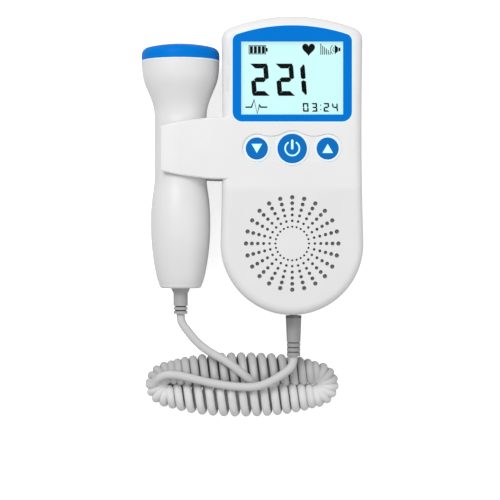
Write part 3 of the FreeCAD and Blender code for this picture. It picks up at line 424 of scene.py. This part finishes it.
def displayFinish():
    # Pale cyan display lit from behind, in soft clouds of two near tones, with a faint cell grid.
    s = {"lit": screenColour(207, 252, 250), "litStrength": 0.77, "face": screenColour(98, 126, 125),
         "paler": screenColour(103, 131, 130), "roughness": 0.25, "specular": 0.3, "cloud": 40.0,
         "cloudDetail": 1.0, "cellsPerMetre": 2400, "depth": 0.004}
    finish, tree, shader = startFinish("displayFace", s["lit"], s["roughness"], s["specular"])
    clouds = spread(tree, cloudTexture(tree, s["cloud"], s["cloudDetail"]), 0, 1)
    tree.links.new(blendColours(tree, clouds, s["face"], s["paler"]), shader.inputs["Base Color"])
    shader.inputs["Emission Color"].default_value = s["lit"]
    shader.inputs["Emission Strength"].default_value = s["litStrength"]
    grid = tree.nodes.new("ShaderNodeTexChecker")
    grid.inputs["Scale"].default_value = s["cellsPerMetre"]
    tree.links.new(objectPlace(tree), grid.inputs["Vector"])
    addBump(tree, shader, grid.outputs["Fac"], s["depth"])
    return finish


def lensFinish():
    # Clear flat window that lets nearly all light through and carries a faint sheen.
    s = {"tint": (0.9, 1.0, 1.0, 1.0), "roughness": 0.06, "specular": 0.3, "cloud": 18.0,
         "cloudDetail": 2.0, "clearest": 0.002, "densest": 0.005}
    finish, tree, shader = startFinish("clearWindow", s["tint"], s["roughness"], s["specular"])
    clouds = cloudTexture(tree, s["cloud"], s["cloudDetail"])
    tree.links.new(spread(tree, clouds, s["clearest"], s["densest"]), shader.inputs["Alpha"])
    return finish


def clothFinish():
    # Grey woven speaker cloth: two waves across each other, multiplied.
    s = {"middle": shade(172), "hollow": shade(150), "thread": shade(188), "roughness": 0.9,
         "specular": 0.1, "waveScale": 1500, "depth": 0.05}
    finish, tree, shader = startFinish("speakerCloth", s["middle"], s["roughness"], s["specular"])
    waves = []
    for direction in ("X", "Y"):
        wave = tree.nodes.new("ShaderNodeTexWave")
        wave.bands_direction = direction
        wave.inputs["Scale"].default_value = s["waveScale"]
        tree.links.new(objectPlace(tree), wave.inputs["Vector"])
        waves.append(wave.outputs["Fac"])
    weave = combine(tree, "MULTIPLY", waves[0], waves[1])
    tree.links.new(blendColours(tree, weave, s["hollow"], s["thread"]), shader.inputs["Base Color"])
    addBump(tree, shader, weave, s["depth"])
    return finish


def cellFinish(name, bandStart, bandFull):
    # Printed battery sleeve: a dark body with a copper band from a place on the Y axis to the button end.
    s = {"sleeve": screenColour(38, 40, 44), "copper": screenColour(190, 120, 66), "roughness": 0.3,
         "specular": 0.5, "cloud": 2.0, "cloudDetail": 2.0, "depth": 0.01}
    finish, tree, shader = startFinish(name, s["sleeve"], s["roughness"], s["specular"])
    band = axisShare(tree, 1, bandStart, bandFull)
    tree.links.new(blendColours(tree, band, s["sleeve"], s["copper"]), shader.inputs["Base Color"])
    addBump(tree, shader, cloudTexture(tree, s["cloud"], s["cloudDetail"]), s["depth"])
    return finish


def cordFinish():
    # Grey cord jacket: satin, with a fine skin and soft changes of tone; the leads are a little deeper
    # than the curly part, and the rear run is deeper still, which is painted shade.
    s = {"pale": shade(225), "deep": shade(217), "lead": shade(205), "rear": shade(187),
         "rearShadeLow": -104.0, "rearShadeHigh": -97.0, "leadLow": 13.4, "leadHigh": 15.0,
         "roughness": 0.55, "specular": 0.2, "cloud": 7.0, "skin": 0.5, "depth": 0.02}
    finish, tree, shader = startFinish("cordJacket", s["pale"], s["roughness"], s["specular"])
    skin = blendColours(tree, spread(tree, cloudTexture(tree, s["cloud"]), 0, 1), s["pale"], s["deep"])
    onLead = axisShare(tree, 2, s["leadLow"], s["leadHigh"])
    belowLead = axisShare(tree, 2, s["leadHigh"], s["leadLow"])
    # the rear run below the leads is darker: painted shade
    rearShadeMask = combine(tree, "MULTIPLY", axisShare(tree, 1, s["rearShadeLow"], s["rearShadeHigh"]), belowLead)
    toned = blendColours(tree, onLead, skin, s["lead"])
    tree.links.new(blendColours(tree, rearShadeMask, toned, s["rear"]), shader.inputs["Base Color"])
    addBump(tree, shader, cloudTexture(tree, s["skin"]), s["depth"])
    return finish


# upper edge of the first groove, and the grooves' pitch, width and painted shade tone
reliefGrooves = {"first": -64.3, "pitch": 1.85, "groove": 0.6, "dark": 76}
bootGrooves = {"first": -81.2, "pitch": 2.15, "groove": 0.48, "dark": 74}


def buildFinishes():
    # The plastics' numbers are roughness, grain size, grain depth and specular level, the metals' are
    # roughness and stretch, and the cells' are where their band starts and is full.
    blue, deepBlue = screenColour(1, 117, 210), screenColour(1, 115, 206)
    capBlue, deepCap = screenColour(0, 120, 213), screenColour(0, 117, 209)
    buttonBlue, paleButton = screenColour(10, 108, 188), screenColour(14, 113, 194)
    cream = (1.0, 0.95, 0.84)
    return {
        "shell": caseFinish(),
        "probeShell": mouldedPlastic("probeWhite", shade(227), shade(222), 0.36, 0.8, 0.01),
        "door": mouldedPlastic("doorWhite", shade(228), shade(223), 0.42, 0.7, 0.02),
        "blue": mouldedPlastic("bezelBlue", blue, deepBlue, 0.4, 0.6, 0.008, 0.03),
        "capBlue": mouldedPlastic("capBlue", capBlue, deepCap, 0.38, 0.6, 0.006, 0.04),
        "buttonBlue": mouldedPlastic("buttonBlue", buttonBlue, paleButton, 0.42, 0.5, 0.01, 0.05),
        "display": displayFinish(),
        "lens": lensFinish(),
        "film": mouldedPlastic("whiteFilm", shade(236), shade(230), 0.5),
        "board": boardFinish(),
        "chip": mouldedPlastic("chipBlack", shade(38), shade(48), 0.5, 0.3, 0.01),
        "switch": mouldedPlastic("switchBlack", shade(44), shade(56), 0.45, 0.4, 0.01),
        "steel": brushedMetal("plainSteel", shade(196), 0.32, (1, 8, 1)),
        "collar": brushedMetal("collarSteel", shade(96), 0.5, (6, 1, 6)),
        "magnet": brushedMetal("magnetSteel", shade(168), 0.4, (1, 1, 6)),
        "cloth": clothFinish(),
        "paper": mouldedPlastic("conePaper", shade(58), shade(72), 0.85, 0.6, 0.08, 0.1),
        "cellUp": cellFinish("cellSleeveUp", 28.0, 28.4),
        "cellDown": cellFinish("cellSleeveDown", 7.0, 6.6),
        "ceramic": mouldedPlastic("crystalCeramic", shade(200, cream), shade(190, cream), 0.35, 0.3, 0.01),
        "backing": mouldedPlastic("backingEpoxy", shade(84), shade(96), 0.6, 0.5, 0.03),
        "rubber": groovedRubber("reliefRubber", shade(172), shade(165), reliefGrooves),
        "bootRubber": groovedRubber("bootRubber", shade(157), shade(150), bootGrooves),
        "clampPlastic": mouldedPlastic("clampPlastic", shade(70), shade(80), 0.5),
        "cord": cordFinish(),
    }


finishedNodes = {
    "shell": ("front_casing", "rear_casing"),
    "door": ("battery_door",),
    "blue": ("screen_bezel",),
    "lens": ("screen_lens",),
    "display": ("lcd_panel",),
    "film": ("lcd_backlight",),
    "board": ("main_board", "probe_board"),
    "chip": ("board_chips", "probe_socket"),
    "steel": ("case_screws", "board_screws", "battery_contacts", "speaker_frame"),
    "buttonBlue": ("volume_down_button", "power_button", "volume_up_button"),
    "switch": ("switch_bodies", "volume_down_plunger", "power_plunger", "volume_up_plunger"),
    "cloth": ("speaker_cloth",),
    "paper": ("speaker_cone",),
    "magnet": ("speaker_magnet",),
    "cellUp": ("battery_cell_left",),
    "cellDown": ("battery_cell_right",),
    "probeShell": ("probe_front_shell", "probe_rear_shell"),
    "capBlue": ("probe_cap",),
    "ceramic": ("transducer_crystals",),
    "backing": ("crystal_backing",),
    "rubber": ("probe_strain_relief",),
    "clampPlastic": ("cord_clamp",),
    "collar": ("plug_pin",),
    "bootRubber": ("plug_boot",),
}

finishes = buildFinishes()
for finishName, nodeNames in finishedNodes.items():
    for nodeName in nodeNames:
        slots = nodes[nodeName].data.materials
        slots.clear()
        slots.append(finishes[finishName])
curlyCord.data.materials.append(finishes["cord"])
print("finishes ready")


def meshPiece(name, points, faces, finish, body, smooth=False):
    # New piece from points in millimetres, which rides on a body.
    mesh = bpy.data.meshes.new(name)
    mesh.from_pydata((np.asarray(points) * mm).tolist(), [], faces)
    mesh.polygons.foreach_set("use_smooth", np.full(len(mesh.polygons), smooth))
    mesh.materials.append(finish)
    piece = addToScene(name, mesh)
    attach(piece, body)


def plates(outlines, low, high):
    # Flat plates: each outline, counted anticlockwise, at two heights, with a top, a bottom and a wall.
    points, faces, start = [], [], 0
    for outline in outlines:
        flat = np.asarray(outline, float)
        if np.sum(flat[:, 0] * np.roll(flat[:, 1], -1) - np.roll(flat[:, 0], -1) * flat[:, 1]) < 0:
            flat = flat[::-1]
        n = len(flat)
        for height in (low, high):
            points.append(np.column_stack([flat, np.full(n, height)]))
        k = np.arange(n)
        wall = np.column_stack([k, (k + 1) % n, (k + 1) % n + n, k + n]) + start
        faces += [tuple(start + n + k), tuple(start + k[::-1])] + [tuple(row) for row in wall]
        start += 2 * n
    return np.concatenate(points), faces


def ringBand(centre, inner, outer, low, high, first=0.0, last=360.0, count=72):
    # Flat band round a centre: the cosine and sine of an angle times each corner's radius, at the
    # corner's height, for the four corners of its section. A whole ring closes on itself, and a part of
    # one gets an end wall at each end.
    whole = last - first >= 360
    angle = np.radians(np.linspace(first, last, count, endpoint=not whole))
    profile = np.array([(inner, low), (outer, low), (outer, high), (inner, high)])
    around = np.stack([np.cos(angle), np.sin(angle)], -1)
    flat = around[:, None, :] * profile[None, :, 0, None] + np.array(centre)
    heights = np.broadcast_to(profile[None, :, 1, None], (count, 4, 1))
    points = np.concatenate([flat, heights], -1).reshape(-1, 3)
    i, j = np.meshgrid(np.arange(count if whole else count - 1), np.arange(4), indexing="ij")
    ahead, up = (i + 1) % count, (j + 1) % 4
    faces = np.stack([i * 4 + j, ahead * 4 + j, ahead * 4 + up, i * 4 + up], -1).reshape(-1, 4)
    faces = [tuple(row) for row in faces]
    if not whole:
        faces += [(0, 1, 2, 3), tuple((count - 1) * 4 + np.array([3, 2, 1, 0]))]
    return points, faces


def joinMeshes(parts):
    # Several meshes as one: each mesh's faces count on from the points before it.
    points, faces, start = [], [], 0
    for somePoints, someFaces in parts:
        points.append(np.asarray(somePoints))
        faces += [tuple(int(k) + start for k in face) for face in someFaces]
        start += len(somePoints)
    return np.concatenate(points), faces


caseMiddle = 18.325  # all signs below are set out from the case's middle line

displaySettings = {
    "low": 30.64, "high": 30.70,
    "digits": (("2", -18.75), ("2", -7.2), ("1", -1.95)), "digitMiddle": 39.1,
    "digitSize": {"wide": 8.2, "tall": 14.7, "thick": 2.2, "gap": 0.2, "lean": 0.08},
    "clock": "03:24", "clockAt": (4.9, 26.5), "clockGap": 1.35,
    "clockSize": {"wide": 2.6, "tall": 4.0, "thick": 0.68, "gap": 0.04, "lean": 0.06},
    "dotWide": 0.5, "dotRise": 1.0, "dotGap": 1.5,
    "pulseAt": (-21.3, 26.6), "pulseWide": 10.0, "pulseThick": 0.66,
    "beat": ((0, 0), (0.28, 0), (0.40, 0.34), (0.54, -0.30), (0.64, 0.10), (0.70, 0), (1, 0)),
}
batterySettings = {
    "left": -19.8, "right": -11.9, "low": 50.7, "high": 54.8, "rim": 0.32, "knobLong": 0.75,
    "knobInset": 1.2, "cells": 4, "cellStart": 0.22, "cellEnd": 0.2, "cellInset": 0.12,
}
signSettings = {
    "heartAt": (7.5, 52.75), "heartWide": 5.85, "heartTall": 5.85, "heartSteps": 48,
    "signalAt": (12.9, 50.5), "signalPitch": 0.85, "signalBar": 0.38,
    "signalHeights": (5.1, 4.1, 3.5, 2.8, 2.1, 1.2),
    "speakerAt": (22.0, 52.9), "speakerBox": (-0.9, 0.0, -0.8, 0.8),
    "speakerHorn": ((-1.1, -0.9), (-1.1, 0.9), (-2.6, 2.2), (-2.6, -2.2)),
    "soundSizes": (1.0, 1.9), "soundStart": -2.2, "soundWide": 1.2, "soundTall": 1.25,
    "soundAngles": (125, 235), "soundSteps": 13, "soundThick": 0.32,
}

segmentShapes = {"0": "abcdef", "1": "bc", "2": "abged", "3": "abgcd", "4": "fgbc"}


def digitBars(shape, left, middle, wide, tall, thick, gap, lean):
    # Seven-bar digit: mitred bars on an upright frame, then leaned so that lower points move right. An
    # upright bar is drawn for the upper left and turned over for the other three.
    h, t, g, w = tall / 2, thick, gap, wide
    half = t / 2
    tip = half / 2
    upright = np.array([(tip, h - g), (0, h - half), (0, tip + g), (half, g), (t, tip + g), (t, h - t)])
    bars = {
        "a": [(g, h), (w - g, h), (w - t - g, h - t), (t + g, h - t)],
        "d": [(g, -h), (w - g, -h), (w - t - g, -h + t), (t + g, -h + t)],
        "g": [(half + g, 0), (t + g, half), (w - t - g, half),
              (w - half - g, 0), (w - t - g, -half), (t + g, -half)],
        "b": upright * (-1, 1) + (w, 0), "c": upright * (-1, -1) + (w, 0),
        "f": upright, "e": upright * (1, -1),
    }
    outlines = []
    for name in segmentShapes[shape]:
        bar = np.array(bars[name], float)
        outlines.append(np.column_stack([bar[:, 0] + left - lean * bar[:, 1], bar[:, 1] + middle]))
    return outlines


def rectangle(left, right, low, high):
    # Four corners, anticlockwise.
    return np.array([(left, low), (right, low), (right, high), (left, high)], float)


def strokeOutline(points, wide):
    # Outline of a line of one width: each point moves to both sides by half the width along the sum of
    # its two normals, divided by that sum's length along the first of them. A least divisor keeps the
    # corner of a sharp bend short.
    line = np.asarray(points, float)
    step = np.diff(line, axis=0)
    normal = np.column_stack([-step[:, 1], step[:, 0]]) / np.linalg.norm(step, axis=1)[:, None]
    both = np.vstack([normal[:1], normal[:-1] + normal[1:], normal[-1:]])
    leastDivisor = 0.4
    both /= np.maximum(np.sum(both * np.vstack([normal[:1], normal]), axis=1), leastDivisor)[:, None]
    return np.vstack([line + both * wide / 2, (line - both * wide / 2)[::-1]])


def batterySign(s):
    # Four rim bars, the knob at the right end, and the cells inside.
    left, right, low, high, rim = s["left"], s["right"], s["low"], s["high"], s["rim"]
    outlines = [rectangle(left, right, high - rim, high), rectangle(left, right, low, low + rim)]
    outlines += [rectangle(x, x + rim, low + rim / 2, high - rim / 2) for x in (left, right - rim)]
    knob = right + s["knobLong"]
    outlines.append(rectangle(right - rim / 2, knob, low + s["knobInset"], high - s["knobInset"]))
    pitch = (right - left - 2 * rim) / s["cells"]
    inset = rim + s["cellInset"]
    for k in range(s["cells"]):
        start = left + rim + k * pitch
        cell = (start + s["cellStart"], start + pitch - s["cellEnd"])
        outlines.append(rectangle(*cell, low + inset, high - inset))
    return outlines


def heartSign(s):
    # Across is the cube of the sine of an angle. Up is 13 cosines of it less 5 of twice, 2 of three times
    # and 1 of four times it, all over 16, set back to its middle and to the height given.
    middle, height = -0.12, 1.83
    angle = np.linspace(0, 2 * np.pi, s["heartSteps"] + 1)[:-1]
    across = np.sin(angle) ** 3
    up = (13 * np.cos(angle) - 5 * np.cos(2 * angle) - 2 * np.cos(3 * angle) - np.cos(4 * angle)) / 16
    x, y = s["heartAt"]
    return [np.column_stack([x + across * s["heartWide"] / 2, y + (up - middle) * s["heartTall"] / height])]


def signalSign(s):
    # Upright bars side by side, each of its own height.
    x, y = s["signalAt"]
    outlines = []
    for tall in s["signalHeights"]:
        outlines.append(rectangle(x, x + s["signalBar"], y, y + tall))
        x += s["signalPitch"]
    return outlines


def speakerSign(s):
    # Box, horn and two arcs of sound to its left.
    x, y = s["speakerAt"]
    left, right, low, high = s["speakerBox"]
    outlines = [rectangle(x + left, x + right, y + low, y + high)]
    outlines.append(np.array([(x + a, y + b) for a, b in s["speakerHorn"]]))
    angle = np.radians(np.linspace(*s["soundAngles"], s["soundSteps"]))
    for size in s["soundSizes"]:
        across = x + s["soundStart"] + s["soundWide"] * size * np.cos(angle)
        up = y + s["soundTall"] * size * np.sin(angle)
        outlines.append(strokeOutline(np.column_stack([across, up]), s["soundThick"]))
    return outlines


def clockDigits(s):
    # Small digits side by side, with two square dots for a colon.
    outlines = []
    x, y = s["clockAt"]
    half = s["dotWide"] / 2
    for mark in s["clock"]:
        if mark == ":":
            dots = [y + side * s["dotRise"] for side in (-1, 1)]
            outlines += [rectangle(x, x + s["dotWide"], dot - half, dot + half) for dot in dots]
            x += s["dotGap"]
        else:
            outlines += digitBars(mark, x, y, **s["clockSize"])
            x += s["clockSize"]["wide"] + s["clockGap"]
    return outlines


def displayOutlines(s, battery, signs):
    # All signs of the display: the large digits, the signs above them, and the pulse line and clock below.
    outlines = []
    for shape, left in s["digits"]:
        outlines += digitBars(shape, left, s["digitMiddle"], **s["digitSize"])
    outlines += batterySign(battery) + heartSign(signs) + signalSign(signs) + speakerSign(signs)
    x, y = s["pulseAt"]
    wide = s["pulseWide"]
    outlines.append(strokeOutline([(x + a * wide, y + b * wide) for a, b in s["beat"]], s["pulseThick"]))
    outlines += clockDigits(s)
    return [outline + np.array([caseMiddle, 0]) for outline in outlines]


buttonSettings = {
    "top": 33.25, "markRise": 0.03, "markSink": 0.05, "y": 7.65, "pitch": 16.1,
    "triangleWide": 4.8, "triangleTall": 4.15,
    "ringOuter": 3.58, "ringInner": 2.88, "ringGap": 31.0, "ringSteps": 64,
    "barWide": 1.05, "barHigh": 4.05, "barLow": -0.5, "barSteps": 13,
    "capRadius": {"volume_down_button": 4.93, "power_button": 6.6, "volume_up_button": 4.93},
    "rimWide": 0.95, "rimLow": 32.32, "rimHigh": 32.8, "rimClear": 0.1,
    "rims": (("volumeDownRim", "volume_down_button", -1), ("powerRim", "power_button", 0),
             ("volumeUpRim", "volume_up_button", 1)),
}


def buttonMarks(s, paint, rimPaint):
    # Two triangles and the power sign, sunk a little into the buttons' tops, and a pale rim round each
    # button. The power sign is an open ring, and a bar with a half circle at each end.
    low, high = s["top"] - s["markSink"], s["top"] + s["markRise"]
    wide, tall, y = s["triangleWide"] / 2, s["triangleTall"] / 2, s["y"]
    for name, x, way in (("volumeDownMark", -s["pitch"], -1), ("volumeUpMark", s["pitch"], 1)):
        outline = np.array([(-wide, -tall * way), (wide, -tall * way), (0, tall * way)]) + (caseMiddle + x, y)
        points, faces = plates([outline], low, high)
        body = "volume_down_button" if way < 0 else "volume_up_button"
        meshPiece(name, points, faces, paint, body)
    centre = (caseMiddle, y)
    first, last = 90 + s["ringGap"], 450 - s["ringGap"]
    arc = ringBand(centre, s["ringInner"], s["ringOuter"], low, high, first, last, s["ringSteps"])
    half = s["barWide"] / 2
    turn = np.linspace(0, np.pi, s["barSteps"])
    topEnd = np.column_stack([half * np.cos(turn), s["barHigh"] - half + half * np.sin(turn)])
    lowEnd = np.column_stack([-half * np.cos(turn), s["barLow"] + half - half * np.sin(turn)])
    bar = np.vstack([topEnd, lowEnd]) + centre
    points, faces = joinMeshes([arc, plates([bar], low, high)])
    meshPiece("powerMark", points, faces, paint, "power_button")
    for name, body, x in s["rims"]:
        inner = s["capRadius"][body] + s["rimClear"]
        middle = (caseMiddle + x * s["pitch"], y)
        points, faces = ringBand(middle, inner, inner + s["rimWide"], s["rimLow"], s["rimHigh"])
        meshPiece(name, points, faces, rimPaint, "case")


bezelHighlightSettings = {
    "halfWide": 27.1, "bottom": 19.9, "apex": 63.6, "archRadius": 80.0, "topCorner": 3.3, "bottomCorner": 4.4,
    "clear": 0.03, "wide": 0.5, "low": 32.95, "high": 33.04, "cornerSteps": 10, "archSteps": 40,
}
capSeamSettings = {
    "axisX": -32.975, "axisZ": 18.3, "low": 48.25, "high": 48.85, "inner": 17.6, "outer": 17.99, "steps": 96,
}


def archedOutline(s, grow):
    # Bezel outline grown by a distance: two lower corners, two upper corners and the arch between them.
    low, top, half = s["bottomCorner"], s["topCorner"], s["halfWide"]
    corner, arch = s["cornerSteps"], s["archSteps"]
    archAt = s["apex"] - s["archRadius"]
    cornerX = half - top
    cornerY = archAt + math.sqrt((s["archRadius"] - top) ** 2 - cornerX ** 2)
    slope = math.atan2(cornerY - archAt, cornerX)
    arcs = (
        (half - low, s["bottom"] + low, low, -math.pi / 2, 0, corner),
        (cornerX, cornerY, top, 0, slope, corner),
        (0, archAt, s["archRadius"], slope, math.pi - slope, arch),
        (-cornerX, cornerY, top, math.pi - slope, math.pi, corner),
        (low - half, s["bottom"] + low, low, math.pi, 1.5 * math.pi, corner),
    )
    runs = []
    for x, y, radius, first, last, steps in arcs:
        turn = np.linspace(first, last, steps)[:-1]
        runs.append(np.column_stack([x + (radius + grow) * np.cos(turn), y + (radius + grow) * np.sin(turn)]))
    return np.vstack(runs)


def trimPieces(highlightRing, seam, highlightPaint, seamPaint):
    # Thin pale ring round the bezel, a painted highlight on its edge, and the pale seam under the probe's
    # cap.
    inner, outer = (archedOutline(highlightRing, highlightRing["clear"] + extra) + (caseMiddle, 0) for extra in (0, highlightRing["wide"]))
    n = len(inner)
    loops = ((inner, highlightRing["low"]), (outer, highlightRing["low"]), (outer, highlightRing["high"]), (inner, highlightRing["high"]))
    points = np.concatenate([np.column_stack([loop, np.full(n, height)]) for loop, height in loops])
    i, j = np.meshgrid(np.arange(n), np.arange(4), indexing="ij")
    ahead, up = (i + 1) % n, (j + 1) % 4
    faces = np.stack([j * n + ahead, up * n + ahead, up * n + i, j * n + i], -1).reshape(-1, 4)
    meshPiece("bezelHighlight", points, faces.tolist(), highlightPaint, "case")
    size = (seam["inner"], seam["outer"], seam["low"], seam["high"])
    flat, faces = ringBand((0, 0), *size, count=seam["steps"])
    turned = np.column_stack([flat[:, 0] + seam["axisX"], flat[:, 2], flat[:, 1] + seam["axisZ"]])
    faces = [tuple(int(k) for k in row[::-1]) for row in faces]  # laid on its side, so turned over
    meshPiece("capSeam", turned, faces, seamPaint, "probe", True)


def paintFinish(name, colour, other, roughness, specular, paintedGlow=0.0):
    # Thin smooth paint or trim in two near colours, with an optional glow that is painted light.
    finish = mouldedPlastic(name, colour, other, roughness, grain=0.4, depth=0.004, specular=specular)
    if paintedGlow:
        shader = finish.node_tree.nodes["Principled BSDF"]
        shader.inputs["Emission Color"].default_value = colour
        shader.inputs["Emission Strength"].default_value = paintedGlow
    return finish


# roughness, specular level and painted glow stand after the two colours
inkFinish = paintFinish("displayInk", screenColour(2, 5, 7), screenColour(5, 9, 11), 0.6, 0.0)
paleCyan, deepCyan = screenColour(205, 252, 253), screenColour(198, 246, 250)
paleRim, deepRim = screenColour(222, 236, 250), screenColour(214, 230, 246)
# pale cyan print on the buttons, with a painted glow
markFinish = paintFinish("buttonPaint", paleCyan, deepCyan, 0.5, 0.3, 0.12)
# pale rims round the buttons, with a painted glow
rimFinish = paintFinish("paleRimPaintedGlow", paleRim, deepRim, 0.3, 0.3, 0.1)
# pale ring round the bezel: painted highlight, with a painted glow
bezelHighlightFinish = paintFinish("bezelHighlightWhite", screenColour(214, 242, 248), screenColour(208, 236, 244), 0.4, 0.3, 0.08)
# pale seam under the probe's cap, with a faint painted glow
seamFinish = paintFinish("seamWhite", shade(246), shade(242), 0.4, 0.3, 0.05)
signOutlines = displayOutlines(displaySettings, batterySettings, signSettings)
marks, markFaces = plates(signOutlines, displaySettings["low"], displaySettings["high"])
meshPiece("displayMarks", marks, markFaces, inkFinish, "case")
buttonMarks(buttonSettings, markFinish, rimFinish)
trimPieces(bezelHighlightSettings, capSeamSettings, bezelHighlightFinish, seamFinish)
print("marks ready")
